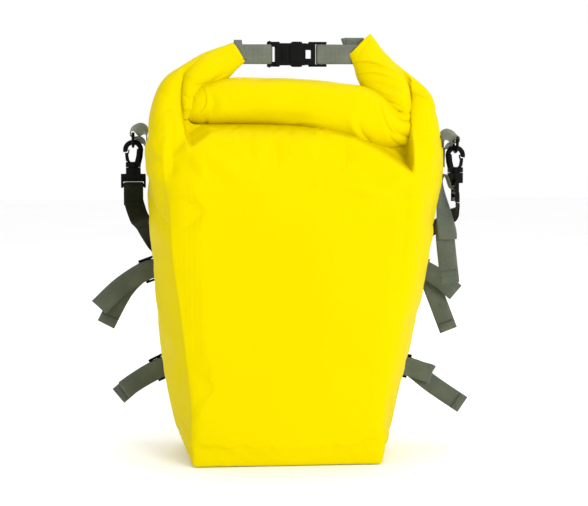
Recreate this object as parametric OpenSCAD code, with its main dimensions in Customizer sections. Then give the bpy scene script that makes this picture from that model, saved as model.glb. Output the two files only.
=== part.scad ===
// Roll-top dry bag with a side-release buckle, a clip-on shoulder strap and four lash straps.
// Millimetres. X is the bag's width, +Y points to its back, +Z is up.
// The origin is the middle of the flat base.

/* [Bag] */
// Width of the front panel at the base
base_w = 242; // [238:1:246]
// Width of the front panel under the roll
top_w = 320; // [316:1:322]
// Depth of the bag, front to back
depth = 180; // [178:1:182]
// Height of the welded body, up to the neck under the roll
body_h = 428; // [427:0.5:428.5]
// Sideways lean of the stuffed body at the top
lean = 18; // [17:1:18]
// Fabric thickness of the body panels
fabric_t = 1.5; // [1.2:0.1:2]

/* [Roll] */
// Height of the roll's middle above the base
roll_z = 458; // [458:1:460]
// Radius of the roll
roll_r = 29; // [28:0.5:29]
// Thickness of the rolled layers
roll_wall = 5; // [4:0.5:6]

/* [Webbing] */
// Width of all webbing
web_w = 25; // [24:0.5:25]
// Thickness of all webbing
web_t = 1.6; // [1.4:0.1:1.6]

/* [Buckle] */
// Height of the buckle's middle above the base
buckle_z = 518; // [518:1:519]
// Sideways place of the buckle's middle
buckle_x = 7; // [6:1:8]
// Thickness of the buckle, front to back
buckle_t = 11; // [11:0.5:12]

/* [Hidden] */

yellow = [0.98, 0.88, 0.02];
grey = [0.42, 0.44, 0.38];
black = [0.07, 0.07, 0.07];
steel = [0.7, 0.7, 0.72];
web_gap = 0.3;
round_fn = 48;

// ---------- paths and sweeps ----------

// Catmull-Rom point between p1 and p2
function between(p0, p1, p2, p3, t) =
    0.5 * (2 * p1 + (p2 - p0) * t + (2 * p0 - 5 * p1 + 4 * p2 - p3) * t * t
           + (3 * p1 - p0 - 3 * p2 + p3) * t * t * t);

// A smooth list through rows of numbers, with steps points to each span
function smooth(rows, steps) =
    let (last = len(rows) - 1)
    [for (i = [0:last - 1], j = [0:steps - 1])
        between(rows[max(i - 1, 0)], rows[i], rows[i + 1], rows[min(i + 2, last)], j / steps),
     rows[last]];

function unit(v) = v / norm(v);

// Direction of a path at point i
function heading(path, i) =
    unit(path[min(i + 1, len(path) - 1)] - path[max(i - 1, 0)]);

// Triangles around a stack of rings, each ring with count points
function wall_faces(rings, count, start = 0, flip = false) =
    [for (r = [0:rings - 2], k = [0:count - 1])
        let (a = start + r * count + k, b = start + r * count + (k + 1) % count,
             c = b + count, d = a + count)
        for (f = [[a, b, c], [a, c, d]])
            flip ? f : [f[2], f[1], f[0]]];

// Points of an arc in a plane, from angle a0 to a1
function arc2(cx, cz, r, a0, a1, n) =
    [for (i = [0:n]) let (a = a0 + (a1 - a0) * i / n) [cx + r * cos(a), cz + r * sin(a)]];

// Outline of a strip of thickness t whose middle follows flat points
function strip_outline(pts, t) =
    let (last = len(pts) - 1,
         side = [for (i = [0:last])
             let (d = unit(pts[min(i + 1, last)] - pts[max(i - 1, 0)])) [-d.y, d.x] * t / 2])
    concat([for (i = [0:last]) pts[i] + side[i]], [for (i = [last:-1:0]) pts[i] - side[i]]);

// A strip of webbing whose path lies in a plane y = const; it is web_w wide along Y
module flat_strip(pts, y_mid, width = web_w, t = web_t)
    translate([0, y_mid + width / 2, 0])
        rotate([90, 0, 0])
            linear_extrude(width) polygon(strip_outline(pts, t));

// A ribbon of webbing that may twist: each row is [place, direction of its width]
module ribbon(rows, steps, width = web_w, t = web_t) {
    path = smooth([for (r = rows) r[0]], steps);
    widths = smooth([for (r = rows) r[1]], steps);
    last = len(path) - 1;
    rings = [for (i = [0:last])
        let (d = heading(path, i),
             w = unit(widths[i] - d * (d * widths[i])),
             n = cross(d, w))
        for (s = [[-1, -1], [1, -1], [1, 1], [-1, 1]])
            path[i] + w * s[0] * width / 2 + n * s[1] * t / 2];
    polyhedron(rings, concat(wall_faces(last + 1, 4), [[0, 1, 2], [0, 2, 3]],
                             [for (f = [[3, 2, 1], [3, 1, 0]]) [for (k = f) 4 * last + k]]));
}

// A hollow tube of fabric with open ends: rows are [x, y, z, half size in the XZ plane, half size in Y]
module fabric_tube(rows, steps, wall, count = 24) {
    fine = smooth(rows, steps);
    path = [for (p = fine) [p[0], p[1], p[2]]];
    last = len(path) - 1;
    skin = function (inset) [for (i = [0:last])
        let (d = heading(path, i), out = unit([d.z, 0, -d.x]))
        for (k = [0:count - 1])
            let (a = 360 * k / count)
            path[i] + out * (fine[i][3] - inset) * cos(a) + [0, (fine[i][4] - inset) * sin(a), 0]];
    outer = skin(0);
    n = len(outer);
    rims = [for (e = [0, last], k = [0:count - 1])
        let (a = e * count + k, b = e * count + (k + 1) % count)
        for (f = e == 0 ? [[a, b, n + b], [a, n + b, n + a]] : [[n + b, b, a], [n + a, n + b, a]]) f];
    polyhedron(concat(outer, skin(wall)),
               concat(wall_faces(last + 1, count), wall_faces(last + 1, count, n, true), rims));
}

// ---------- welded body ----------

// Sections of the body: [height, middle x, half width of front and back panels, gusset bulge,
// front y, back y, front bulge, drop of the right side]
half_base = base_w / 2;
half_top = top_w / 2;
half_depth = depth / 2;
roll_y = -22;
sections = smooth([
    [0,            0,           half_base,       0,  -half_depth,      half_depth,      0, 0],
    [28,           lean * 0.07, half_base,       14, -half_depth,      half_depth,      3, 0],
    [75,           lean * 0.14, half_base + 1,   26, -half_depth,      half_depth,      6, 0],
    [150,          lean * 0.34, half_base + 12,  31, -half_depth + 2,  half_depth,      8, 0],
    [250,          lean * 0.62, half_base + 29,  28, -half_depth + 3,  half_depth,      8, 0],
    [340,          lean * 0.84, half_top - 2,    30, -half_depth + 4,  half_depth,      7, 0],
    [385,          lean,        half_top,        30, -half_depth + 5,  half_depth,      6, 2],
    [404,          lean,        half_top + 1,    27, -half_depth + 16, half_depth - 14, 4, 4],
    [417,          lean,        half_top + 3,    23, -half_depth + 36, half_depth - 44, 2, 7],
    [425,          lean,        half_top + 4,    18, roll_y - 14,      roll_y + 32,     0, 9],
    [body_h,       lean,        half_top + 4,    12, roll_y - 4,       roll_y + 4,      0, 11]], 3);
panel_cells = 14;

// Point on a panel: side 0 front, 1 right, 2 back, 3 left; u runs from -1 to 1 along the section
function panel_point(s, side, u, inset) =
    let (w = s[2] - inset, f = s[4] + inset, b = s[5] - inset, mid = (f + b) / 2, half = (b - f) / 2,
         crown = 1 - u * u,
         p = side == 0 ? [w * u, f - s[6] * crown]
             : side == 1 ? [w + s[3] * crown, mid + half * u]
             : side == 2 ? [-w * u, b]
             : [-w - s[3] * crown, mid - half * u])
    [s[1] + p.x, p.y, s[0] - s[7] * (1 + p.x / (s[2] + s[3])) / 2];

// Part of a side's skin between two insets: cols and rows give its first and last grid lines
module skin_piece(side, low_inset, high_inset, col_range = [0, panel_cells],
                  row_range = [0, len(sections) - 1]) {
    rows = row_range[1] - row_range[0] + 1;
    cols = col_range[1] - col_range[0] + 1;
    skin = function (inset) [for (r = [row_range[0]:row_range[1]], k = [col_range[0]:col_range[1]])
        panel_point(sections[r], side, -1 + 2 * k / panel_cells, inset)];
    outer = skin(low_inset);
    n = len(outer);
    grid = function (start, flip) [for (r = [0:rows - 2], k = [0:cols - 2])
        let (a = start + r * cols + k)
        for (f = [[a, a + 1, a + cols + 1], [a, a + cols + 1, a + cols]])
            flip ? f : [f[2], f[1], f[0]]];
    edge = function (a, b) [[a, b, n + b], [a, n + b, n + a]];
    top = (rows - 1) * cols;
    rims = concat([for (k = [0:cols - 2]) each concat(edge(k, k + 1), edge(top + k + 1, top + k))],
                  [for (r = [0:rows - 2]) each concat(edge((r + 1) * cols, r * cols),
                                                      edge((r + 1) * cols - 1, (r + 2) * cols - 1))]);
    polyhedron(concat(outer, skin(high_inset)), concat(grid(0, false), grid(n, true), rims));
}

module panel(side) color(yellow) skin_piece(side, 0, fabric_t);

module base_panel()
    color(yellow)
        translate([-half_base + fabric_t, -half_depth + fabric_t, 0])
            cube([base_w - 2 * fabric_t, depth - 2 * fabric_t, fabric_t]);

// ---------- rolled collar ----------

left_end = -92;
right_end = 112;

// The roll as a tube whose radius is larger by grow
module roll_tube(grow)
    let (r = roll_r + grow)
    fabric_tube([[left_end, roll_y, roll_z, r, r - 1], [-30, roll_y, roll_z, r, r],
                 [40, roll_y, roll_z - 2, r, r], [right_end, roll_y, roll_z - 8, r + 3, r]], 3, roll_wall);

module rolled_collar()
    color(yellow) roll_tube(0);

// End of the collar, bent up to the buckle: it starts just above the body's top corner and leaves room
// for the roll, and for the webbing that comes out of its mouth between two values of x
module collar_end(rows, mouth)
    color(yellow)
        difference() {
            fabric_tube(rows, 4, 3);
            hull() roll_tube(web_gap);
            translate([mouth[0], buckle_y - 2.3, buckle_z - web_w / 2 - web_gap])
                cube([mouth[1] - mouth[0], 4.6, web_w + 2 * web_gap]);
        }

module collar_end_left()
    collar_end([[-146, -14, 434, 22, 18], [-137, -16, 459, 26, 22], [-112, -20, 487, 27, 22],
                [-84, -22, 508, 20, 15], [-56, -22, 520, 13, 8]], [-72, -50]);

module collar_end_right()
    collar_end([[178, -14, 427, 23, 18], [165, -16, 455, 31, 22], [142, -20, 482, 31, 22],
                [119, -22, 508, 26, 15], [104, -22, 529, 18, 8]], [84, 114]);

// Flat stiffener strip sewn to the collar's mouth, at the core of the roll
module closure_stiffener()
    color(black)
        translate([left_end + 4, roll_y - 3, roll_z - 3 - web_w / 2])
            cube([right_end - left_end - 8, 2, web_w]);

// Webbing tape sewn along the stiffener
module closure_webbing()
    color(grey)
        translate([left_end + 2, roll_y - 1, roll_z - 3 - web_w / 2])
            cube([right_end - left_end - 4, web_t, web_w]);

// ---------- side-release buckle ----------

buckle_y = -22;
mouth_x = 18;
bar_r = 2.2;
prong_pivot = [23.5, 9.4];
socket_gap = 0.1;
pivot_r = 2;
rail_z = 14;

module at_buckle() translate([buckle_x, buckle_y, buckle_z]) children();

// A block given by its lowest and highest corners
module block(low, high) translate(low) cube(high - low);

// Cylinder along Y through [x, z]
module across_y(x, z, r, t)
    translate([x, t / 2, z]) rotate([90, 0, 0]) cylinder(r = r, h = t, $fn = round_fn);

// Receiving half: hollow body open at the mouth, with a bar for its webbing
module buckle_female()
    color(black) at_buckle() {
        difference() {
            union() {
                block([-14, -buckle_t / 2, -rail_z], [mouth_x, buckle_t / 2, rail_z]);
                block([-28, -4, 12.8], [-12, 4, 15.8]);
                block([-28, -4, -15.8], [-12, 4, -12.8]);
                for (s = [-1, 1]) across_y(-25, s * 14.9, 2, 9);
            }
            block([-10, -3.7, -12], [mouth_x + 1, 3.7, 12]);
            // windows that the prongs' finger pads stand out of
            for (s = [0, 1]) mirror([0, 0, s]) block([-4, -3.7, 11], [mouth_x + 1, 3.7, 20]);
        }
        translate([-25, 0, -13]) cylinder(r = bar_r, h = 26, $fn = round_fn);
    }

// Insert half: guide rod, slotted base and the two bars for its webbing
insert_bars = [31, 45];
module buckle_male()
    color(black) at_buckle() {
        difference() {
            union() {
                block([mouth_x + 1.2, -3.2, -13], [27.5, 3.2, 13]);
                for (s = [-1, 1]) block([25, -4, s > 0 ? 12.8 : -15.8], [48, 4, s > 0 ? 15.8 : -12.8]);
            }
            block([mouth_x + 3, -4, -5.4], [28, 4, 5.4]);
            for (s = [-1, 1]) {
                across_y(prong_pivot.x, s * prong_pivot.y, pivot_r + socket_gap, 8);
                block([mouth_x, -4, s * prong_pivot.y - 2.6], [prong_pivot.x, 4, s * prong_pivot.y + 2.6]);
            }
        }
        block([-6, -1.8, -2.2], [mouth_x + 2, 1.8, 2.2]);
        for (x = insert_bars) translate([x, 0, -13.5]) cylinder(r = bar_r, h = 27, $fn = round_fn);
    }

// Springy arm of the insert with its finger pad; side is 1 above and -1 below
module prong(side)
    color(black) at_buckle() mirror([0, 0, side > 0 ? 0 : 1]) {
        across_y(prong_pivot.x, prong_pivot.y, pivot_r, 6);
        rotate([90, 0, 0])
            translate([0, 0, -3])
                linear_extrude(6)
                    polygon([[-8, 8.4], [-6, 7.2], [prong_pivot.x, 7.6], [prong_pivot.x, 11.2],
                             [mouth_x - 0.5, 11.4], [mouth_x - 1.5, 15.8], [4, 15.8], [-1, 12.4],
                             [-6, 10.6]]);
    }

// ---------- webbing at the buckle ----------

// Left webbing: from inside the collar end, round the receiving half's bar and back
female_bar = [buckle_x - 25, buckle_z];
loop_r = bar_r + web_gap + web_t / 2;

// Webbing that lies across the front view: a path in the XY plane, web_w tall
module tall_strip(pts, z_mid)
    translate([0, 0, z_mid - web_w / 2]) linear_extrude(web_w) polygon(strip_outline(pts, web_t));

module female_strap()
    color(grey)
        tall_strip(concat([[-70, buckle_y - 1.2], [-45, buckle_y - 1.2], [-24, buckle_y - 2.6]],
                          arc2(female_bar.x, buckle_y, loop_r, 270, 450, 16),
                          [[-24, buckle_y + 2.6], [-45, buckle_y + 1.2], [-70, buckle_y + 1.2]]),
                   buckle_z);

// Right webbing: from inside the collar end, round the insert's outer bar, back under itself
male_bar = buckle_x + insert_bars[1];
module male_strap()
    color(grey)
        tall_strip(concat([[112, buckle_y + 1.2], [75, buckle_y + 1.2], [58, buckle_y + 2.8]],
                          arc2(male_bar, buckle_y, loop_r, 90, 270, 16),
                          [[58, buckle_y - 2.8], [75, buckle_y - 1.2], [112, buckle_y - 1.2]]),
                   buckle_z);

// ---------- side loops, D-rings and hooks ----------

// Everything on one side is drawn with x measured outward from the gusset and z from the D-ring's bar
left_place = [-172.2, 5, 417];
right_place = [208.2, 5, 409];
module on_side(left) {
    if (left) translate(left_place) mirror([1, 0, 0]) children();
    else translate(right_place) children();
}

patch_t = 1.2;
leg_x = 1.9;
leg_down = 36;
ring_x = 19.4;

// Welded patch that backs the loop's sewn leg; it lies on the gusset
module side_patch(left)
    color(yellow) skin_piece(left ? 3 : 1, -patch_t, 0, [5, 9], [16, 20]);

// Webbing loop: both ends sewn to the patch, and an open loop above
module side_loop(left)
    color(grey) on_side(left)
        flat_strip(concat([[leg_x, -leg_down], [leg_x, -2]],
                          arc2(leg_x + 12.2, 6, 12.2, 180, 0, 16),
                          arc2(leg_x + 16.9, 3.5, 7.5, 0, -85, 8),
                          [[leg_x + 10, -4.4], [leg_x + web_t + 0.2, -9],
                           [leg_x + web_t + 0.1, -leg_down]]), 0);

// D-ring: a straight bar inside the webbing loop and a bow that hangs below it
bow_r = 15;
bow_drop = 1.4;
ring_wire = 2;
module d_ring(left)
    color(black) on_side(left) translate([ring_x, 0, 0]) {
        translate([0, bow_r, 0]) rotate([90, 0, 0]) cylinder(r = ring_wire, h = 2 * bow_r, $fn = round_fn);
        for (s = [-1, 1]) translate([0, s * bow_r, 0]) {
            sphere(r = ring_wire, $fn = round_fn);
            translate([0, 0, -bow_drop]) cylinder(r = ring_wire, h = bow_drop, $fn = round_fn);
        }
        translate([0, 0, -bow_drop]) rotate([90, 0, 90]) rotate([0, 0, 180])
            rotate_extrude(angle = 180, $fn = 96) translate([bow_r, 0]) circle(r = ring_wire, $fn = round_fn);
    }

// Hook: an open ring on a leg, whose foot holds the swivel pin. Its ring's middle is hook_z below the bar.
hook_r = 11.3;
hook_bar = 4.6;
crown_gap = 0.3;
hook_z = -(bow_r + bow_drop) + ring_wire + crown_gap - (hook_r - hook_bar);
foot_top = -15.2;
foot_low = -22;
pin_r = 2.2;
pin_reach = 5.8;
module hook(left)
    color(black) on_side(left) translate([ring_x, 0, hook_z]) difference() {
        union() {
            rotate([90, 0, 0]) {
                rotate([0, 0, -8]) rotate_extrude(angle = 188, $fn = 96)
                    translate([hook_r - hook_bar / 2, 0]) square(hook_bar, center = true);
                linear_extrude(hook_bar, center = true)
                    polygon([[-hook_r, 0], [hook_bar - hook_r, 0], [-5.6, -12], [-4, foot_top],
                             [8.2, foot_top], [8.2, foot_low], [-8.2, foot_low], [-9.6, -15]]);
            }
            translate([0, 0, foot_low]) cylinder(r = 6.4, h = 5, $fn = round_fn);
        }
        across_y(gate_pivot.x, gate_pivot.y, 2, 14);
        translate([0, 0, foot_low - 1]) cylinder(r = pin_r + 0.08, h = pin_reach + 1.1, $fn = round_fn);
    }

// Spring gate that closes the hook's mouth from inside
gate_pivot = [5.6, foot_top];
module gate(left)
    color(black) on_side(left) translate([ring_x, 0, hook_z]) {
        across_y(gate_pivot.x, gate_pivot.y, 1.9, hook_bar);
        rotate([90, 0, 0])
            linear_extrude(3.6, center = true)
                polygon([[4.2, foot_top], [7, foot_top], [7.9, -6], [6.2, -1.2], [6.1, 0.6], [4.7, 0.6],
                         [4.9, -2.5], [6.2, -6.5], [5, -13]]);
    }

// Headed pin, moulded into the base, that the hook turns on
base_top = hook_z + foot_low - 0.2;
head_z = base_top - 6;
module swivel_pin(left)
    color(steel) on_side(left) translate([ring_x, 0, head_z]) {
        cylinder(r = 3.6, h = 2, $fn = round_fn);
        cylinder(r = pin_r, h = 6.2 + pin_reach, $fn = round_fn);
    }

// Neck of the swivel base with its cross piece, moulded round the pin; the cross piece lies along Y
// when across is true, else along X
cross_low = base_top - 14;
base_half = 16;
rail = 2.8;
module swivel_base(across, bars)
    translate([ring_x, 0, 0]) rotate([0, 0, across ? 90 : 0]) {
        difference() {
            union() {
                translate([0, 0, cross_low + 3]) cylinder(r = 6.2, h = 11, $fn = round_fn);
                block([-base_half, -2.6, cross_low], [base_half, 2.6, cross_low + 5.5]);
            }
            translate([0, 0, head_z - 0.03]) cylinder(r = 3.63, h = 2.06, $fn = round_fn);
            translate([0, 0, head_z]) cylinder(r = pin_r + 0.03, h = 8, $fn = round_fn);
        }
        for (s = [0, 1]) mirror([s, 0, 0])
            block([base_half - rail, -2.6, bars[len(bars) - 1] - 3.5], [base_half, 2.6, cross_low + 1]);
        for (z = bars)
            translate([1 - base_half, 0, z]) rotate([0, 90, 0])
                cylinder(r = bar_r, h = 2 * base_half - 2, $fn = round_fn);
    }

// Left base: one bar for the strap's sewn end
eye_z = cross_low - 9;
module strap_eye()
    color(black) on_side(true) swivel_base(false, [eye_z]);

// Right base: a ladder of three bars, turned edge-on to the front, through which the strap is adjusted
adjuster_bars = [cross_low - 5, cross_low - 13, cross_low - 21];
module strap_adjuster()
    color(black) on_side(false) swivel_base(true, adjuster_bars);

// ---------- shoulder strap ----------

left_eye = [left_place.x - ring_x, left_place.y, left_place.z + eye_z];
right_bar = [right_place.x + ring_x, right_place.y, right_place.z + adjuster_bars[1]];

// Sewn left end: webbing round the eye's bar
module strap_end_left()
    color(grey)
        translate([left_eye.x - web_w / 2, 0, 0])
            rotate([90, 0, 90])
                linear_extrude(web_w)
                    polygon(strip_outline(concat([[left_eye.y - 0.95, left_eye.z - 26],
                                                  [left_eye.y - 0.95, left_eye.z - 12]],
                                                 arc2(left_eye.y, left_eye.z, loop_r, 190, -10, 16),
                                                 [[left_eye.y + 0.95, left_eye.z - 12],
                                                  [left_eye.y + 0.95, left_eye.z - 26]]), web_t));

// Right end: up the outside of the ladder, over its middle bar, a slack loop beside the bag,
// a fold that faces forward, and the hanging tail
module strap_end_right() {
    x = right_bar.x;
    y = right_bar.y;
    z = right_bar.z;
    fore = [0, 1, 0];
    face = [1, 0, 0];
    color(grey)
        ribbon([[[x + 3.6, y, z - 12], fore], [[x + 3.6, y, z - 3], fore], [[x + 2.4, y, z + 3], fore],
                [[x - 1, y, z + 4.4], fore], [[x - 6, y, z + 7], fore], [[x - 10, y, z + 18], fore],
                [[x - 13.4, y, z + 24], fore], [[x - 16, y, z + 18], fore], [[x - 16, y - 1, z], fore],
                [[x - 14, y - 4, z - 30], [0.6, 0.8, 0]], [[x - 11, y - 6, z - 52], face],
                [[x - 10.5, y - 4, z - 60], face], [[x - 11, y - 2, z - 52], face],
                [[x - 12, y - 1.2, z - 44], face], [[x - 13, y + 0.4, z - 46], face],
                [[x - 11, y + 2, z - 70], face], [[x - 5, y + 3, z - 119], face]], 3);
}

// The strap between its two ends: down behind the bag, across, and up the right side
strap_y = half_depth + 32;
module shoulder_strap()
    color(grey)
        ribbon([[[left_eye.x, left_eye.y, left_eye.z - 26.3], [1, 0, 0]],
                [[left_eye.x + 0.2, left_eye.y + 0.6, left_eye.z - 33], [1, 0, 0]],
                [[-189, 14, 309], [1, 0, 0]], [[-182, 44, 301], [1, 0, 0]],
                [[-173, 82, 284], [1, 0, 0.2]], [[-158, 114, 262], [0.8, 0.4, 0.4]],
                [[-130, strap_y, 232], [0.4, 1, 0.3]], [[-90, strap_y, 204], [0, 1, 0]],
                [[-40, strap_y, 186], [0, 1, 0]], [[20, strap_y, 182], [0, 1, 0]],
                [[80, strap_y, 190], [0, 1, 0]], [[130, strap_y, 208], [0, 1, 0]],
                [[170, strap_y, 242], [0.2, 1, 0]], [[204, 96, 275], [0.3, 1, 0]],
                [[223, 58, 296], [0.2, 1, 0.4]],
                [[right_bar.x + 4, 30, right_bar.z - 36], [0, 1, 0.6]],
                [[right_bar.x + 3.8, 10, right_bar.z - 27], [0, 1, 0.3]],
                [[right_bar.x + 3.6, right_bar.y + 0.4, right_bar.z - 19], [0, 1, 0]],
                [[right_bar.x + 3.6, right_bar.y, right_bar.z - 13], [0, 1, 0]]], 3);

// ---------- lash straps on the back ----------

// Each row: side, x and height of the lock's pivot, slope of the lock, then points of the folded band
// and of the tail as [outward, up, slope]
lash_upper_left = [-1, -156, 238, 20, [[56, -29, 36], [83, -54, 46]], [[50, -34, 48], [75, -80, 58]]];
lash_lower_left = [-1, -143, 106, 26, [[46, -24, 31], [64, -36.5, 34]], [[46, -25, 34], [72, -46, 38]]];
lash_upper_right = [1, 180, 238, 22, [[47, -23, 32], [65.5, -39.5, 40]], [[40, -46, 62], [58, -93, 62]]];
lash_lower_right = [1, 157, 102, 14, [[42, -12, 17], [56, -17, 19]], [[60, -33, 32], [101, -61, 26]]];

patch_size = [56, 40];
patch_x = -62;
lock_y = half_depth + 10;
under_y = half_depth + patch_t + web_t / 2;

// Draws in the lash's own frame: +X outward along the lock's slope, origin at the lock's pivot
module lash_frame(row)
    translate([row[1], 0, row[2]])
        mirror([row[0] > 0 ? 0 : 1, 0, 0])
            rotate([0, row[3], 0]) children();

module lash_patch(row)
    color(yellow)
        lash_frame(row)
            translate([patch_x, half_depth + patch_t / 2, 0])
                cube([patch_size.x, patch_t, patch_size.y], center = true);

// Short webbing that holds the lock: sewn to the patch over the strap's end, and round the lock's bar
module lash_tab(row)
    color(grey)
        lash_frame(row)
            tall_strip(concat([[-84, under_y + web_t], [-36, under_y + web_t], [-9, lock_y - 3.6]],
                              arc2(0, lock_y, loop_r, -90, 90, 16),
                              [[-9, lock_y + 2.6], [-36, under_y + 2 * web_t + 0.1],
                               [-84, under_y + 2 * web_t + 0.1]]), 0);

// Ladder lock: two side rails and three bars
lock_half = 16.5;
lock_bars = [0, 12, 24];
module ladder_lock(row)
    color(black) lash_frame(row) translate([0, lock_y, 0]) {
        for (s = [0, 1]) mirror([0, 0, s]) block([-3.5, -2.4, 13.5], [27, 2.4, lock_half]);
        for (x = lock_bars) translate([x, 0, -14]) cylinder(r = bar_r, h = 28, $fn = round_fn);
    }

// Point of a lash strap in the part's axes, and the direction of its width there
function lash_at(row, p, y) =
    [[row[1] + row[0] * p[0], y, row[2] + p[1]], [row[0] * sin(p[2]), 0, cos(p[2])]];
function on_lock(row, d, y) = lash_at(row, [d * cos(row[3]), -d * sin(row[3]), row[3]], y);

// Lash strap: sewn under the tab, out to a fold, back round the lock's middle bar, then the hemmed tail
module lash_strap(row) {
    band = row[4];
    tail = row[5];
    r = loop_r;
    color(grey)
        ribbon([on_lock(row, -84, under_y), on_lock(row, -40, under_y), on_lock(row, 0, under_y),
                on_lock(row, 26, under_y), lash_at(row, band[0], under_y - 0.8),
                lash_at(row, band[1] - [2, -1.5, 0], under_y), lash_at(row, band[1], under_y + 3),
                lash_at(row, band[1] - [2, -1.5, 0], under_y + 5.4), lash_at(row, band[0], under_y + 5.6),
                on_lock(row, 30, lock_y - r), on_lock(row, 12.5, lock_y - r),
                on_lock(row, 12 - 0.75 * r, lock_y - 0.7 * r), on_lock(row, 12 - r, lock_y),
                on_lock(row, 12 - 0.75 * r, lock_y + 0.7 * r), on_lock(row, 12.5, lock_y + r),
                on_lock(row, 27, lock_y + r), lash_at(row, tail[0], lock_y + r),
                lash_at(row, tail[1], lock_y + r - 1)], 3);
}

// ---------- nodes ----------

panel(0);  // front_panel
panel(1);  // right_gusset
panel(2);  // back_panel
panel(3);  // left_gusset
base_panel();
rolled_collar();
collar_end_left();
collar_end_right();
closure_stiffener();
closure_webbing();
buckle_female();
buckle_male();
prong(1);  // prong_upper
prong(-1);  // prong_lower
female_strap();
male_strap();
side_patch(true);  // side_patch_left
side_loop(true);  // side_loop_left
d_ring(true);  // d_ring_left
hook(true);  // hook_left
gate(true);  // gate_left
swivel_pin(true);  // swivel_pin_left
strap_eye();
strap_end_left();
side_patch(false);  // side_patch_right
side_loop(false);  // side_loop_right
d_ring(false);  // d_ring_right
hook(false);  // hook_right
gate(false);  // gate_right
swivel_pin(false);  // swivel_pin_right
strap_adjuster();
strap_end_right();
shoulder_strap();
lash_patch(lash_upper_left);  // lash_patch_upper_left
lash_tab(lash_upper_left);  // lash_tab_upper_left
ladder_lock(lash_upper_left);  // ladder_lock_upper_left
lash_strap(lash_upper_left);  // lash_strap_upper_left
lash_patch(lash_lower_left);  // lash_patch_lower_left
lash_tab(lash_lower_left);  // lash_tab_lower_left
ladder_lock(lash_lower_left);  // ladder_lock_lower_left
lash_strap(lash_lower_left);  // lash_strap_lower_left
lash_patch(lash_upper_right);  // lash_patch_upper_right
lash_tab(lash_upper_right);  // lash_tab_upper_right
ladder_lock(lash_upper_right);  // ladder_lock_upper_right
lash_strap(lash_upper_right);  // lash_strap_upper_right
lash_patch(lash_lower_right);  // lash_patch_lower_right
lash_tab(lash_lower_right);  // lash_tab_lower_right
ladder_lock(lash_lower_right);  // ladder_lock_lower_right
lash_strap(lash_lower_right);  // lash_strap_lower_right
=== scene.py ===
"""Looks of the roll-top dry bag: one fabric shell, the roll and its bent ends, webbing and moulded hardware.

Lengths in the tables below are millimetres in the part's frame: +X right, +Y back, +Z up.
"""

import math
from collections import namedtuple

import bmesh
import bpy
import numpy as np
from mathutils import Matrix, Vector
from mathutils.bvhtree import BVHTree
from mathutils.kdtree import KDTree


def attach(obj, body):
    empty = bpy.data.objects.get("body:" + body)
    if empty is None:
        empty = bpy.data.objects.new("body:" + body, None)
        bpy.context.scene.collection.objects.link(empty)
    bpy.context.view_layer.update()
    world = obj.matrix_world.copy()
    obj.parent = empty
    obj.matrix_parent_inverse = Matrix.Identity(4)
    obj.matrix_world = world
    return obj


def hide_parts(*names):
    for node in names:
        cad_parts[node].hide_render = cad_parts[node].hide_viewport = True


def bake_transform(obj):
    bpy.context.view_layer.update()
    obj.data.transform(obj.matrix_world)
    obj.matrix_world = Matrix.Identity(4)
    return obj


MM = 0.001
UV_UNIT = 100.0
SIDES = {"left": -1, "right": 1}

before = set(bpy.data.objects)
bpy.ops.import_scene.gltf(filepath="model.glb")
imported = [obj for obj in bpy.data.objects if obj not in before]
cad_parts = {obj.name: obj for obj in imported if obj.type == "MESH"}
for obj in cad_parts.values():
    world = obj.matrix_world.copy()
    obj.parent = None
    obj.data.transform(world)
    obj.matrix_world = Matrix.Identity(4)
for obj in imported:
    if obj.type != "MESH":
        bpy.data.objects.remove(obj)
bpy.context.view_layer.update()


# ---------- small maths ----------

def unit(v):
    v = np.asarray(v, float)
    return v / max(np.linalg.norm(v), 1e-9)


def smooth_rows(rows, steps):
    """Catmull-Rom curve through rows, with steps points to each span."""
    rows = np.asarray(rows, float)
    last = len(rows) - 1
    out = []
    for i in range(last):
        p0, p1 = rows[max(i - 1, 0)], rows[i]
        p2, p3 = rows[i + 1], rows[min(i + 2, last)]
        for j in range(steps):
            t = j / steps
            out.append(0.5 * (2 * p1 + (p2 - p0) * t + (2 * p0 - 5 * p1 + 4 * p2 - p3) * t * t
                              + (3 * p1 - p0 - 3 * p2 + p3) * t ** 3))
    out.append(rows[last])
    return np.array(out)


def smoothstep(low, high, x):
    t = np.clip((x - low) / (high - low), 0, 1)
    return t * t * (3 - 2 * t)


def arc(cx, cy, r, start, end, count):
    """Points of an arc in a plane, angles in degrees."""
    angles = np.radians(np.linspace(start, end, count + 1))
    return [(cx + r * math.cos(a), cy + r * math.sin(a)) for a in angles]


def near_line(points, line):
    """Distance of 2D points from a polyline, the share of it before the nearest place, and the side."""
    line = np.asarray(line, float)
    spans = np.linalg.norm(np.diff(line, axis=0), axis=1)
    before = np.concatenate([[0], np.cumsum(spans)])
    best = np.full(len(points), np.inf)
    along = np.zeros(len(points))
    side = np.zeros(len(points))
    for i, span in enumerate(spans):
        a, d = line[i], (line[i + 1] - line[i]) / span
        t = np.clip((points - a) @ d, 0, span)
        off = points - (a + t[:, None] * d)
        dist = np.linalg.norm(off, axis=1)
        closer = dist < best
        best = np.where(closer, dist, best)
        along = np.where(closer, (before[i] + t) / before[-1], along)
        side = np.where(closer, np.sign(d[0] * off[:, 1] - d[1] * off[:, 0]), side)
    return best, along, side


# ---------- mesh building ----------

def make_object(name, points, faces, uvs=None):
    """Mesh object from millimetre points; uvs maps each vertex to a place on the fabric."""
    mesh = bpy.data.meshes.new(name)
    mesh.from_pydata([tuple(p) for p in np.asarray(points) * MM], [], faces)
    if uvs is not None:
        layer = mesh.uv_layers.new(name="UVMap")
        for loop in mesh.loops:
            layer.data[loop.index].uv = uvs[loop.vertex_index]
    mesh.polygons.foreach_set("use_smooth", [True] * len(mesh.polygons))
    obj = bpy.data.objects.new(name, mesh)
    bpy.context.collection.objects.link(obj)
    return obj


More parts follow.
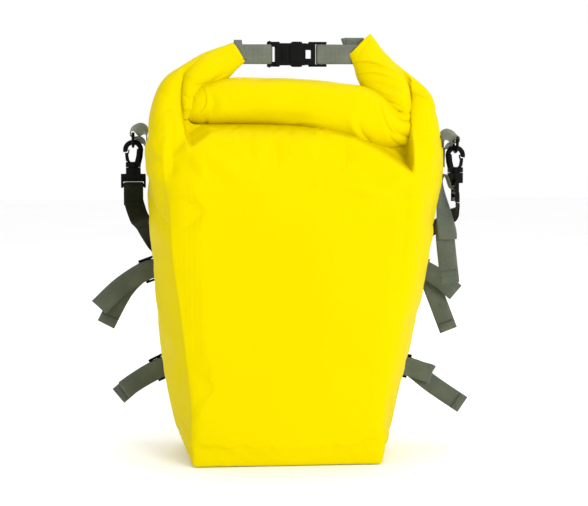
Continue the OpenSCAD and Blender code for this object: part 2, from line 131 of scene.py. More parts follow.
def bake_modifiers(obj):
    """Replaces the mesh with what its modifiers make of it."""
    graph = bpy.context.evaluated_depsgraph_get()
    mesh = bpy.data.meshes.new_from_object(obj.evaluated_get(graph))
    obj.modifiers.clear()
    obj.data = mesh
    mesh.polygons.foreach_set("use_smooth", [True] * len(mesh.polygons))
    return obj


def join(name, objects):
    """One object made of several; the others are removed."""
    build = bmesh.new()
    for obj in objects:
        copy = obj.data.copy()
        copy.transform(obj.matrix_world)
        build.from_mesh(copy)
        bpy.data.meshes.remove(copy)
        bpy.data.objects.remove(obj)
    mesh = bpy.data.meshes.new(name)
    build.to_mesh(mesh)
    build.free()
    out = bpy.data.objects.new(name, mesh)
    bpy.context.collection.objects.link(out)
    return out


def remeshed(obj, voxel, smoothing):
    """Fuses an object's overlapping pieces into one rounded skin."""
    remesh = obj.modifiers.new("fuse", "REMESH")
    remesh.mode = "VOXEL"
    remesh.voxel_size = voxel * MM
    soften = obj.modifiers.new("soften", "SMOOTH")
    soften.factor = 0.5
    soften.iterations = smoothing
    return bake_modifiers(obj)


def subdivided(obj, levels):
    divide = obj.modifiers.new("divide", "SUBSURF")
    divide.levels = levels
    divide.render_levels = levels
    return bake_modifiers(obj)


def coords(obj):
    flat = np.empty(len(obj.data.vertices) * 3)
    obj.data.vertices.foreach_get("co", flat)
    return flat.reshape(-1, 3) / MM


def set_coords(obj, points):
    obj.data.vertices.foreach_set("co", (points * MM).ravel())
    obj.data.update()


def normals(obj):
    flat = np.empty(len(obj.data.vertices) * 3)
    obj.data.vertices.foreach_get("normal", flat)
    return flat.reshape(-1, 3)


def ring_faces(rings, count):
    """Faces of a tube between rings of count points."""
    return [(r * count + k, r * count + (k + 1) % count, (r + 1) * count + (k + 1) % count,
             (r + 1) * count + k) for r in range(rings - 1) for k in range(count)]


def end_caps(rings, count):
    """Faces that close a tube at its first and last ring."""
    return [tuple(range(count - 1, -1, -1)), tuple(range((rings - 1) * count, rings * count))]


LIP_WALL = 1.6
SHEAR_SHARE = 0.25


def lip_rings(ring, inward):
    """The rings at the mouth and at the bottom of a tube's open end."""
    centre, out, across, deep = ring
    sizes = (max(across - LIP_WALL, 0.5), max(deep - LIP_WALL, 0.5))
    return [(centre, out, *sizes), (centre + inward, out, *sizes)]


def fabric_tube(name, rows, steps=6, count=48, power=2.2, lip=(0, 0), shear=(0, 0)):
    """Tube of fabric along rows of x, y, z, half size across in the XZ plane, half size in Y.
    lip gives how deep each end is open, with 0 for a closed end; shear gives how each end leans in X."""
    fine = smooth_rows(rows, steps)
    heading = [unit(d) for d in np.gradient(fine[:, :3], axis=0)]
    rings = [(row[:3], unit((d[2], 0, -d[0])), row[3], row[4]) for row, d in zip(fine, heading)]
    start = lip_rings(rings[0], heading[0] * lip[0])[::-1] if lip[0] else []
    end = lip_rings(rings[-1], -heading[-1] * lip[1]) if lip[1] else []
    rings = start + rings + end
    total = len(rings)
    reach = SHEAR_SHARE * total
    points = []
    for index, (centre, out, across, deep) in enumerate(rings):
        lean = shear[0] * max(0, 1 - index / reach) + shear[1] * max(0, 1 - (total - 1 - index) / reach)
        for k in range(count):
            angle = 2 * math.pi * k / count
            c, s = math.cos(angle), math.sin(angle)
            u = math.copysign(abs(c) ** (2 / power), c)
            v = math.copysign(abs(s) ** (2 / power), s)
            point = centre + out * across * u + np.array([0, deep * v, 0])
            point[0] += lean * (point[2] - centre[2])
            points.append(point)
    faces = ring_faces(total, count) + end_caps(total, count)
    return make_object(name, points, faces)


STRIP_COLUMNS = 9
STRAP_WIDTH = 25.0
STRAP_THICK = 1.6
SELVEDGE_THINNING = 0.45


def strip_frames(places, widths, steps):
    """Points along a strap, with its width and face directions at each."""
    path = smooth_rows(places, steps)
    spread = smooth_rows(widths, steps)
    heading = np.gradient(path, axis=0)
    across, face = [], []
    for i in range(len(path)):
        d = unit(heading[i])
        w = unit(spread[i] - d * np.dot(d, spread[i]))
        across.append(w)
        face.append(np.cross(d, w))
    length = np.concatenate([[0], np.cumsum(np.linalg.norm(np.diff(path, axis=0), axis=1))])
    return path, np.array(across), np.array(face), length


def strap_mesh(name, frames, first=0, last=None, width=STRAP_WIDTH):
    """Webbing between two points of strip_frames: a flat band with rounded selvedges."""
    path, across, face, length = frames
    last = len(path) - 1 if last is None else last
    u = np.linspace(-1, 1, STRIP_COLUMNS)
    half = STRAP_THICK / 2 * (1 - SELVEDGE_THINNING * np.abs(u) ** 6)
    scale = width / 2
    points, uvs = [], []
    for i in range(first, last + 1):
        for side, columns in ((-1, range(STRIP_COLUMNS)), (1, range(STRIP_COLUMNS - 1, -1, -1))):
            for k in columns:
                points.append(path[i] + across[i] * u[k] * scale + face[i] * side * half[k])
                uvs.append((0.5 + u[k] * scale / UV_UNIT, length[i] / UV_UNIT))
    count = 2 * STRIP_COLUMNS
    rings = last - first + 1
    return make_object(name, points, ring_faces(rings, count) + end_caps(rings, count), uvs)


STITCH, STITCH_GAP, STITCH_RADIUS, STITCH_SIDES = 2.4, 0.9, 0.32, 6
# Height above the cloth and share of the full radius at each ring of a stitch
STITCH_RINGS = [(-0.35, 0.6), (0.15, 1), (0.3, 1), (0.15, 1), (-0.35, 0.6)]


def along_curve(values, along, places):
    return np.stack([np.interp(places, along, values[:, k]) for k in range(3)], axis=1)


def stitch_mesh(name, lines):
    """Rows of short raised stitches. Each line is (points, outward normals)."""
    points, faces = [], []
    rings = len(STITCH_RINGS)
    for line, outward in lines:
        line = np.asarray(line, float)
        outward = np.asarray(outward, float)
        spans = np.linalg.norm(np.diff(line, axis=0), axis=1)
        along = np.concatenate([[0], np.cumsum(spans)])
        at = 0.0
        while at + STITCH <= along[-1] + 1e-6:
            knots = np.linspace(at, at + STITCH, rings)
            centre = along_curve(line, along, knots)
            d = unit(centre[-1] - centre[0])
            n = unit(along_curve(outward, along, knots)[rings // 2])
            b = np.cross(d, n)
            base = len(points)
            for k, (lift, share) in enumerate(STITCH_RINGS):
                size = STITCH_RADIUS * share
                for side in range(STITCH_SIDES):
                    a = 2 * math.pi * side / STITCH_SIDES
                    points.append(centre[k] + n * (lift + size * math.cos(a)) + b * size * math.sin(a))
            skin = ring_faces(rings, STITCH_SIDES) + end_caps(rings, STITCH_SIDES)
            faces += [tuple(base + v for v in face) for face in skin]
            at += STITCH + STITCH_GAP
    return make_object(name, points, faces)


# ---------- materials ----------

class Nodes:
    """A material's node tree with short calls to add to it."""

    def __init__(self, name):
        self.material = bpy.data.materials.new(name)
        self.material.use_nodes = True
        self.tree = self.material.node_tree
        self.shader = self.tree.nodes["Principled BSDF"]
        self.places = self.tree.nodes.new("ShaderNodeTexCoord")

    def add(self, kind, **settings):
        node = self.tree.nodes.new(kind)
        for key, value in settings.items():
            if key.startswith("in_"):
                slot = key[3:]
                node.inputs[int(slot) if slot.isdigit() else slot.replace("_", " ")].default_value = value
            else:
                setattr(node, key, value)
        return node

    def link(self, a, b):
        self.tree.links.new(a, b)

    def noise(self, where, scale, detail=4.0, roughness=0.55):
        node = self.add("ShaderNodeTexNoise", in_Scale=scale, in_Detail=detail, in_Roughness=roughness)
        self.link(where, node.inputs["Vector"])
        return node.outputs["Fac"]

    def wave(self, where, direction, pitch):
        """Even ribs across a direction, pitch apart."""
        node = self.add("ShaderNodeTexWave", bands_direction=direction, in_Scale=2 * math.pi / (20 * pitch))
        self.link(where, node.inputs["Vector"])
        return node.outputs["Fac"]

    def maths(self, operation, a, b=None):
        node = self.add("ShaderNodeMath", operation=operation)
        for slot, value in ((0, a), (1, b)):
            if isinstance(value, (int, float)):
                node.inputs[slot].default_value = value
            elif value is not None:
                self.link(value, node.inputs[slot])
        return node.outputs[0]

    def spread(self, value, low, high, to_low, to_high):
        node = self.add("ShaderNodeMapRange", in_1=low, in_2=high, in_3=to_low, in_4=to_high)
        self.link(value, node.inputs[0])
        return node.outputs[0]

    def ramp(self, value, stops):
        node = self.add("ShaderNodeValToRGB")
        ramp = node.color_ramp
        while len(ramp.elements) < len(stops):
            ramp.elements.new(0.5)
        for element, (place, colour) in zip(ramp.elements, stops):
            element.position = place
            element.color = (*colour, 1)
        self.link(value, node.inputs[0])
        return node.outputs["Color"]

    def bump(self, height, distance, strength, under=None):
        node = self.add("ShaderNodeBump", in_Strength=strength, in_Distance=distance)
        self.link(height, node.inputs["Height"])
        if under is not None:
            self.link(under, node.inputs["Normal"])
        return node.outputs["Normal"]

    def finish(self, colour=None, roughness=None, normal=None, **constants):
        for slot, value in (("Base Color", colour), ("Roughness", roughness), ("Normal", normal)):
            if value is not None:
                self.link(value, self.shader.inputs[slot])
        for key, value in constants.items():
            self.shader.inputs[key.replace("_", " ")].default_value = value
        return self.material


def tarpaulin_material():
    """Coated polyester: glossy plastic skin over a fine plain weave that shows through it."""
    n = Nodes("tarpaulin")
    where = n.places.outputs["Object"]
    cloud = n.noise(where, 5.0)
    colour = n.ramp(cloud, [(0.3, (0.63, 0.508, 0.0)), (0.7, (0.67, 0.542, 0.0))])
    pitch = 0.0011
    threads = n.maths("ADD", n.wave(where, "X", pitch),
                      n.maths("ADD", n.wave(where, "Y", pitch), n.wave(where, "Z", pitch)))
    weave = n.bump(threads, 0.0004, 0.16)
    scuffs = n.noise(where, 120.0, 6.0, 0.7)
    dents = n.bump(n.noise(where, 22.0, 3.0, 0.5), 0.004, 0.10, weave)
    rough = n.spread(scuffs, 0.3, 0.7, 0.46, 0.62)
    return n.finish(colour, rough, dents, Specular_IOR_Level=0.06,
                    Specular_Tint=(1.0, 0.82, 0.03, 1.0))


def webbing_material(name, dark, light, sheen=0.25):
    """Woven tape: cross ribs over lengthwise yarns, with fuzz."""
    n = Nodes(name)
    where = n.places.outputs["UV"]
    ribs = n.wave(where, "Y", 0.0165)
    yarns = n.wave(where, "X", 0.0155)
    cell = n.maths("MULTIPLY", ribs, yarns)
    fuzz = n.noise(where, 300.0, 4.0, 0.7)
    cloud = n.noise(n.places.outputs["Object"], 30.0, 3.0)
    tone = n.maths("ADD", n.maths("MULTIPLY", cell, 0.45), n.maths("MULTIPLY", cloud, 0.55))
    colour = n.ramp(n.maths("ADD", tone, n.maths("MULTIPLY", n.maths("SUBTRACT", fuzz, 0.5), 0.3)),
                    [(0.25, dark), (0.75, light)])
    height = n.maths("ADD", cell, n.maths("MULTIPLY", fuzz, 0.35))
    rough = n.spread(fuzz, 0.3, 0.7, 0.72, 0.9)
    return n.finish(colour, rough, n.bump(height, 0.0006, 0.7), Specular_IOR_Level=sheen, Sheen_Weight=sheen,
                    Sheen_Roughness=0.5)


def plastic_material(name, base, worn):
    """Moulded nylon: fine spark-eroded grain, with edges rubbed lighter."""
    n = Nodes(name)
    where = n.places.outputs["Object"]
    grain = n.noise(where, 2600.0, 3.0, 0.6)
    cloud = n.noise(where, 160.0, 5.0, 0.65)
    edge = n.add("ShaderNodeNewGeometry").outputs["Pointiness"]
    rub = n.maths("MULTIPLY", n.spread(edge, 0.52, 0.62, 0.0, 1.0), cloud)
    colour = n.ramp(rub, [(0.05, base), (0.8, worn)])
    rough = n.spread(cloud, 0.3, 0.7, 0.34, 0.52)
    return n.finish(colour, rough, n.bump(grain, 0.00012, 0.3), Specular_IOR_Level=0.06)


def thread_material(name, colour_low, colour_high):
    """Twisted polyester thread."""
    n = Nodes(name)
    where = n.places.outputs["Object"]
    twist = n.noise(where, 2400.0, 2.0, 0.6)
    colour = n.ramp(twist, [(0.3, colour_low), (0.7, colour_high)])
    rough = n.spread(twist, 0.3, 0.7, 0.6, 0.85)
    return n.finish(colour, rough, n.bump(twist, 0.0002, 0.5), Sheen_Weight=0.2)


def steel_material():
    """Turned steel with fine uneven marks."""
    n = Nodes("pin_steel")
    marks = n.noise(n.places.outputs["Object"], 900.0, 3.0, 0.5)
    colour = n.ramp(marks, [(0.3, (0.5, 0.5, 0.52)), (0.7, (0.65, 0.65, 0.67))])
    rough = n.spread(marks, 0.3, 0.7, 0.28, 0.42)
    return n.finish(colour, rough, n.bump(marks, 0.0001, 0.2), Metallic=1.0)


def floor_material():
    n = Nodes("pale_floor")
    cloud = n.noise(n.places.outputs["Object"], 3.0, 2.0)
    colour = n.ramp(cloud, [(0.2, (0.96, 0.96, 0.96)), (0.8, (0.98, 0.98, 0.98))])
    return n.finish(colour, n.spread(cloud, 0.2, 0.8, 0.75, 0.85), n.bump(cloud, 0.001, 0.05))


TARP = tarpaulin_material()
WEBBING = webbing_material("webbing_olive", (0.055, 0.068, 0.048), (0.145, 0.165, 0.12))
# A darker copy of the olive webbing with less sheen. It paints the shade on the shoulder strap; the webbing
# itself is the olive one.
WEBBING_SHADED = webbing_material("webbing_shaded", (0.003, 0.004, 0.001), (0.02, 0.023, 0.009), 0.06)
WEBBING_LIGHT = webbing_material("webbing_grey", (0.095, 0.104, 0.08), (0.205, 0.222, 0.172))
PLASTIC = plastic_material("black_plastic", (0.002, 0.0022, 0.0016), (0.022, 0.023, 0.02))
STRIP = plastic_material("stiffener_plastic", (0.02, 0.02, 0.02), (0.05, 0.05, 0.05))
# Thread darker than the webbing. Its colour is partly its own and partly painted shade, so that the rows near
# a hem's edge also draw the shadow of its step.
THREAD = thread_material("thread_dark", (0.010, 0.012, 0.008), (0.035, 0.038, 0.028))
STEEL = steel_material()


def dress(obj, material, body, slot, *nodes):
    """Gives a piece its material and its body, and hides the CAD nodes it stands for; its finish slot is not
    used.
    """
    obj.data.materials.clear()
    obj.data.materials.append(material)
    if body:
        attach(obj, body)
    if nodes:
        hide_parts(*nodes)
    return obj


# ---------- camera, floor and light ----------

TARGET = Vector((15.5, 0, 262)) * MM
AZIMUTH, ELEVATION, DISTANCE = math.radians(-5), math.radians(5), 2.2
LENS, SENSOR = 103.6, 36.0
# Place of each soft box in metres, its size and its power
SOFT_BOXES = [((1.0, -2.1, 1.0), 0.9, 31), ((0.0, 0.3, 2.3), 0.9, 8), ((0.4, 2.0, 1.2), 1.5, 10)]
FLOOR_HALF, FLOOR_Z = 6000, -0.5


def aim(obj, place):
    """Puts a camera or lamp at a place and turns it to the target."""
    obj.location = place
    obj.rotation_euler = (TARGET - Vector(place)).to_track_quat("-Z", "Y").to_euler()
    bpy.context.collection.objects.link(obj)


def set_stage():
    scene = bpy.context.scene
    back = Vector((math.sin(AZIMUTH) * math.cos(ELEVATION), -math.cos(AZIMUTH) * math.cos(ELEVATION),
                   math.sin(ELEVATION)))
    data = bpy.data.cameras.new("camera")
    data.lens = LENS
    data.sensor_width = SENSOR
    scene.camera = bpy.data.objects.new("camera", data)
    aim(scene.camera, TARGET + back * DISTANCE)
    for i, (place, size, power) in enumerate(SOFT_BOXES):
        light = bpy.data.lights.new(f"soft_box_{i}", "AREA")
        light.size = size
        light.energy = power
        aim(bpy.data.objects.new(f"soft_box_{i}", light), place)
    scene.world = bpy.data.worlds.new("studio")
    scene.world.use_nodes = True
    backdrop = scene.world.node_tree.nodes["Background"]
    backdrop.inputs["Color"].default_value = (1, 1, 1, 1)
    backdrop.inputs["Strength"].default_value = 1.0
    scene.view_settings.view_transform = "Standard"
    corners = [(x * FLOOR_HALF, y * FLOOR_HALF, FLOOR_Z) for x, y in ((-1, -1), (1, -1), (1, 1), (-1, 1))]
    floor = make_object("floor", corners, [(0, 1, 2, 3)])
    floor.data.materials.append(floor_material())


set_stage()


# ---------- the fabric shell ----------

# Height, middle x, half width of front and back, gusset bulge, front y, back y, front bulge, corner size
SECTIONS = [
    (0, 0.0, 121, 0, -90, 90, 0, 3),
    (10, 0.4, 121, 6, -90, 90, 1, 4),
    (28, 1.3, 121, 14, -90, 90, 3, 5),
    (75, 2.5, 122, 26, -90, 90, 6, 6),
    (150, 6.1, 133, 31, -88, 90, 8, 8),
    (250, 11.2, 150, 28, -87, 90, 9, 12),
    (340, 15.1, 158, 30, -86, 90, 9, 16),
    (380, 17.6, 160, 30, -85, 89, 8, 28),
    (402, 18, 160, 26, -84, 84, 5, 38),
    (416, 18, 158, 20, -78, 66, 3, 42),
    (425, 18, 152, 12, -60, 30, 1, 30),
    (431, 18, 142, 4, -34, -12, 0, 8)]
LOOP_POINTS = 256
SIDE_POINTS = 60


def body_loop(row):
    """Rounded section of the filled bag at one height."""
    z, mid, half, bulge, front, back, belly, corner = row
    u = np.linspace(-1, 1, SIDE_POINTS, endpoint=False)
    crown = 1 - u * u
    centre, deep = (front + back) / 2, (back - front) / 2
    sides = [np.stack([half * u, front - belly * crown], 1),
             np.stack([half + bulge * crown, centre + deep * u], 1),
             np.stack([-half * u, np.full_like(u, back)], 1),
             np.stack([-half - bulge * crown, centre - deep * u], 1)]
    loop = np.concatenate(sides)
    loop = np.vstack([loop, loop[:1]])
    along = np.concatenate([[0], np.cumsum(np.linalg.norm(np.diff(loop, axis=0), axis=1))])
    even = np.linspace(0, along[-1], LOOP_POINTS, endpoint=False)
    loop = np.stack([np.interp(even, along, loop[:, k]) for k in (0, 1)], 1)
    window = max(1, int(round(corner / (along[-1] / LOOP_POINTS))))
    rounded = sum(np.roll(loop, k, axis=0) for k in range(-window, window + 1)) / (2 * window + 1)
    return np.column_stack([rounded[:, 0] + mid, rounded[:, 1], np.full(LOOP_POINTS, z)])


def body_loft():
    rows = smooth_rows(SECTIONS, 6)
    points = np.concatenate([body_loop(row) for row in rows])
    faces = ring_faces(len(rows), LOOP_POINTS) + end_caps(len(rows), LOOP_POINTS)
    return make_object("loft", points, faces)


# Outer fabric that carries on from the body's corners up to the ends of the collar. Rows are as for
# fabric_tube: x, y, z, half size across, half size in Y.
WING_LEFT = [(-130, -18, 325, 36, 54), (-138.5, -18, 375, 37.5, 59), (-143, -22, 410, 32.5, 54),
             (-148, -26, 437, 24, 42), (-146, -25, 461, 19, 31), (-139, -25, 478, 16, 25),
             (-121.6, -24, 491.6, 14, 20), (-95, -23, 510.3, 11, 14), (-61, -22, 526.5, 6.5, 7)]
WING_RIGHT = [(155, -26, 305, 34, 46), (164, -28, 360, 34, 50), (170.5, -29, 402, 30, 49),
              (173, -28, 426, 26, 42), (174, -27, 447, 20, 34), (172.5, -27, 461, 17.5, 29),
              (168, -26, 471, 13.5, 25), (153.5, -25, 487.5, 10, 19), (139.6, -24, 502.5, 7, 13),
              (126, -23, 518, 4.5, 7)]

# The ridge of the front's shoulder (x, z): above it the fabric tucks back under the roll, as far back as
# TUCK_DEPTH gives for a rise above the ridge
TUCK_RIDGE = [(-121, 396.6), (-96, 412), (-65, 419), (-28, 420.5), (10, 419), (47, 415), (85, 407),
              (116, 393), (141.6, 377), (158, 364)]
# Upright edges (x, z) of the darts at the tuck's two ends
DART_LEFT = [(-121, 396), (-126.5, 416), (-130, 436), (-131, 460)]
DART_RIGHT = [(158.5, 364), (158.2, 385), (157.4, 410), (158.5, 445), (160, 465)]
TUCK_RISE = [-4, 0, 4, 10, 22, 60]
TUCK_DEPTH = [0, 1.5, 10, 28, 44, 52]
TUCK_FRONT_Y = -91


def tuck(points):
    """Pushes the front back under the roll, with a sharp dart at each end."""
    x, y, z = points.T
    ridge = np.interp(x, *np.array(TUCK_RIDGE).T)
    left = np.interp(z, *np.array(DART_LEFT)[:, ::-1].T)
    right = np.interp(z, *np.array(DART_RIGHT)[:, ::-1].T)
    inside = smoothstep(-1.5, 3.5, x - left) * smoothstep(-1.5, 3.5, right - x)
    surface = TUCK_FRONT_Y + np.interp(z - ridge, TUCK_RISE, TUCK_DEPTH)
    front = smoothstep(5, -10, y)
    points[:, 1] = y + np.maximum(surface - y, 0) * inside * front
    return points


# Folds seen from the front: (line of (x, z), height, width, kind). A soft fold is a round swell, a crisp
# one has a sharp crest, and a ledge drops off on the right of its line's direction.
SHELL_FOLDS = [
    ([(-122, 396), (-103, 391), (-78, 377), (-59, 366), (-31, 366)], 4.5, 11, "soft"),
    ([(-122, 396), (-110, 380), (-100, 362)], 2.0, 7, "soft"),
    ([(157, 365), (134, 354), (109, 346), (83, 353), (41, 354)], 4.5, 11, "soft"),
    ([(157, 364), (160, 340), (158, 300), (152, 262)], 2.0, 8, "soft"),
    ([(-40, 392), (20, 388), (80, 380), (120, 364)], -2.4, 16, "soft"),
    ([(-60, 340), (0, 322), (70, 318)], 1.4, 26, "soft"),
    ([(-90, 120), (-40, 100), (20, 96), (80, 110)], 1.4, 26, "soft"),
    ([(-112, 40), (-60, 22), (20, 18), (96, 34)], 1.0, 14, "soft"),
    ([(-70, 230), (-20, 215), (60, 222)], -1.6, 34, "soft"),
    ([(40, 160), (90, 190), (130, 240)], -1.4, 26, "soft"),
    ([(-122, 30), (-119, 62), (-122, 111), (-131, 187), (-141, 262), (-145, 330)], 3.0, 5, "crisp"),
    ([(-152, 445), (-150, 421), (-153, 393), (-151, 360), (-144, 321)], 2.2, 5, "crisp"),
    ([(-141, 436), (-143, 405), (-142, 370)], -2.0, 4, "crisp"),
    ([(-156, 443), (-145, 448), (-134, 447)], -2.2, 2.2, "crisp"),
    ([(-134, 446), (-138, 436), (-136, 420)], 1.8, 4, "crisp"),
    ([(-131, 436), (-127, 420), (-122, 397)], 1.6, 3, "crisp"),
    ([(164, 468), (179, 462), (187, 454), (195, 444)], 3.4, 9, "ledge"),
    ([(146, 502), (158, 486), (173, 472), (192, 448)], -1.8, 3, "crisp"),
    ([(162, 462), (159, 440), (157, 410), (160, 367)], 1.8, 3, "crisp"),
    ([(160, 380), (168, 350), (170, 310)], 1.4, 6, "soft"),
    ([(-110, 504), (-130, 486), (-136, 462)], 1.6, 4, "crisp"),
    ([(-98, 516), (-124, 500), (-142, 478), (-150, 452)], 1.2, 6, "soft"),
    ([(-158, 470), (-146, 462), (-138, 452)], -1.2, 3, "crisp")]


def fold(points, normal, folds):
    """Raises or sinks the front along lines."""
    flat = points[:, (0, 2)]
    facing = smoothstep(0.1, 0.5, -normal[:, 1]) * (points[:, 1] < 0)
    total = np.zeros(len(points))
    for line, height, width, kind in folds:
        dist, along, side = near_line(flat, smooth_rows(line, 6))
        if kind == "soft":
            profile = np.exp(-(dist / width) ** 2)
        else:
            profile = np.exp(-dist / width)
        if kind == "ledge":
            profile = profile * smoothstep(-0.8, 0.8, dist * side)
        total += height * profile * np.sin(np.pi * np.clip(along, 0.03, 0.97)) ** 0.5
    return points + normal * (total * facing)[:, None]


WAVES = 9


def wobble(points, normal, size, amount, seed):
    """Broad uneven dents from a few fixed waves."""
    rng = np.random.default_rng(seed)
    total = np.zeros(len(points))
    for _ in range(WAVES):
        direction = unit(rng.normal(size=3))
        total += np.sin(points @ direction * (2 * math.pi / (size * rng.uniform(0.6, 1.6)))
                        + rng.uniform(0, 2 * math.pi))
    return points + normal * (amount * total / 3)[:, None]


CLOTH_VOXEL, CLOTH_FRAMES, CLOTH_PRESSURE = 7.0, 20, 4
# Passes that smooth the moves into plain swelling, the share of the folds that is kept, and their cap
CLOTH_SMOOTHING, CLOTH_SHARE, CLOTH_CAP = 40, 0.5, 2.6


def held(points):
    """How firmly the cloth is held: the base, the collar, and the back where webbing is sewn on."""
    _, y, z = points.T
    base = 1 - smoothstep(4, 30, z)
    collar = smoothstep(405, 440, z)
    back = smoothstep(60, 86, y) * 0.6
    return np.maximum(np.maximum(base, collar), back)


def swelling_of(mesh, moves):
    """The moves of a mesh's points, smoothed until only the broad swelling is left."""
    edges = np.empty(len(mesh.edges) * 2, dtype=int)
    mesh.edges.foreach_get("vertices", edges)
    a, b = edges.reshape(-1, 2).T
    count = np.bincount(a, minlength=len(moves)) + np.bincount(b, minlength=len(moves))
    for _ in range(CLOTH_SMOOTHING):
        total = np.zeros_like(moves)
        np.add.at(total, a, moves[b])
        np.add.at(total, b, moves[a])
        moves = total / count[:, None]
    return moves


def cloth_folds(shell):
    """Fills a coarse copy of the shell as loose cloth. Gives its points and the folds it takes, as moves."""
    coarse = bpy.data.objects.new("cloth_copy", shell.data.copy())
    bpy.context.collection.objects.link(coarse)
    coarse = remeshed(coarse, CLOTH_VOXEL, 4)
    before = coords(coarse)
    group = coarse.vertex_groups.new(name="held")
    for index, weight in enumerate(held(before)):
        group.add([index], float(weight), "REPLACE")
    cloth = coarse.modifiers.new("cloth", "CLOTH")
    settings = cloth.settings
    settings.quality = 5
    settings.mass = 0.3
    settings.bending_stiffness = 0.6
    settings.use_pressure = True
    settings.uniform_pressure_force = CLOTH_PRESSURE
    settings.shrink_min = -0.05
    settings.effector_weights.gravity = 0
    settings.vertex_group_mass = "held"
    scene = bpy.context.scene
    for step in range(1, CLOTH_FRAMES + 1):
        scene.frame_set(step)
    coarse = bake_modifiers(coarse)
    scene.frame_set(1)
    moves = coords(coarse) - before
    folds = CLOTH_SHARE * (moves - swelling_of(coarse.data, moves))
    bpy.data.objects.remove(coarse)
    return before, folds


def settle(shell):
    """Gives the shell the folds of its cloth copy, without the copy's swelling."""
    places, moves = cloth_folds(shell)
    tree = KDTree(len(places))
    for index, place in enumerate(places):
        tree.insert(place, index)
    tree.balance()
    points = coords(shell)
    for i, point in enumerate(points):
        near = tree.find_n(point, 4)
        weights = np.array([1 / (distance + 1) for _, _, distance in near])
        move = weights @ moves[[index for _, index, _ in near]] / weights.sum()
        size = np.linalg.norm(move)
        points[i] = point + move * min(1, CLOTH_CAP / max(size, 1e-6))
    set_coords(shell, points)


# Flats on the gussets where the side loops are sewn on: x of the flat, middle y
LOOP_FLATS = ((-171.4, 5), (207.3, 5))


def flatten(points):
    """Brings the gussets to a flat where the side loops are."""
    x, y, z = points.T
    level = smoothstep(335, 362, z) * (1 - smoothstep(404, 432, z))
    for flat, middle in LOOP_FLATS:
        near = level * (1 - smoothstep(14, 42, np.abs(y - middle))) * (np.sign(flat) * x > 100)
        points[:, 0] += (flat - points[:, 0]) * near
    return points


SHELL_VOXEL, SHELL_SMOOTHING, WING_POWER = 3.4, 6, 2.6
BACK_LIMIT = 90.2


def make_shell():
    parts = [body_loft(), fabric_tube("wing_a", WING_LEFT, power=WING_POWER),
             fabric_tube("wing_b", WING_RIGHT, power=WING_POWER)]
    shell = remeshed(join("bag_shell", parts), SHELL_VOXEL, SHELL_SMOOTHING)
    shell = subdivided(shell, 1)
    settle(shell)
    points = flatten(tuck(coords(shell)))
    set_coords(shell, points)
    points, normal = coords(shell), normals(shell)
    points = fold(points, normal, SHELL_FOLDS)
    above_base = smoothstep(4, 40, points[:, 2])[:, None]
    moved = wobble(points, normal, 150, 0.8, 3)
    points = points + (moved - points) * above_base
    points[:, 1] = np.minimum(points[:, 1], BACK_LIMIT)
    points[:, 2] = np.maximum(points[:, 2], 0)
    set_coords(shell, points)
    return dress(shell, TARP, "bag", "tarpaulin", "front_panel", "back_panel", "left_gusset", "right_gusset",
                 "base_panel")


bag_shell = make_shell()


# ---------- the roll and the ends of the collar ----------

# Tubes of rolled fabric: x, y, z, half size across, half size in Y
ROLL = [(-123, -31, 446, 14, 17), (-112, -30, 450, 21, 24), (-97, -28, 456, 27.5, 29),
        (-63, -28, 458.5, 30, 32), (-20, -30, 457.5, 30, 34), (20, -32, 455.5, 31.5, 35),
        (55, -35, 449, 35, 36), (95, -39, 440, 37, 36), (122, -41, 427, 33, 32), (142, -42, 417, 22, 24),
        (156, -42, 411, 9, 13)]
ARM_LEFT = [(-127, -42, 436, 4, 6), (-122, -41, 450, 9, 10), (-121, -39, 466, 11.5, 14),
            (-114.5, -35, 483, 15, 18), (-100, -31, 494, 19.5, 18), (-84, -27, 503, 21, 15),
            (-69, -24, 513, 17.5, 10), (-56, -22, 521, 14.5, 6.5)]
ARM_RIGHT = [(150, -47, 440, 6, 9), (150.5, -45, 448, 12, 15), (142, -42, 462, 21, 22),
             (131, -33, 478, 26.5, 22), (120.5, -29, 492, 26, 19), (109.5, -25, 511, 24, 13),
             (97.5, -22, 532, 26, 7)]
CORE = [(-131, -20, 438, 8, 9), (-113, -22, 446, 14, 12), (-88, -26, 454, 15, 14), (-60, -26, 458, 15, 15)]
GATHERS = [[(106, -50, 458, 4, 7), (120, -50, 448, 10, 14), (142, -45, 437, 11, 17), (172, -38, 438, 11, 15)],
           [(113, -60, 450, 4, 6), (126, -60, 437, 11, 13), (144, -54, 425, 12, 16), (172, -42, 424, 11, 14)],
           [(121, -62, 430, 3, 5), (136, -58, 417, 9, 12), (152, -50, 410, 8, 12), (166, -42, 412, 6, 9)]]

# Folds on these tubes, as for the shell
ROLL_FOLDS = [
    ([(-103, 476), (-99, 464), (-101, 451), (-114, 438)], 2.4, 4.0, "ledge"),
    ([(-95.5, 470), (-91, 457), (-94, 445), (-108, 434)], -2.2, 4.0, "crisp"),
    ([(-84, 466), (-80, 452), (-88, 438)], 1.2, 5.0, "soft"),
    ([(89, 432), (96, 417), (108, 404)], -3.6, 3.0, "crisp"),
    ([(78, 440), (86, 424), (98, 407)], 2.6, 6.0, "soft"),
    ([(116, 462), (122, 440), (129, 426), (141, 414), (157, 411)], 3.2, 7.0, "ledge"),
    ([(100, 476), (112, 452), (120, 430), (128, 408)], 2.0, 5.0, "crisp"),
    ([(60, 482), (84, 474), (104, 462)], 2.0, 6.0, "crisp"),
    ([(-60, 476), (0, 479), (46, 476)], 1.4, 7.0, "soft"),
    ([(-50, 440), (0, 438), (50, 430)], -1.6, 8.0, "soft"),
    ([(-4, 428), (20, 432), (50, 430)], 1.8, 4.0, "crisp")]
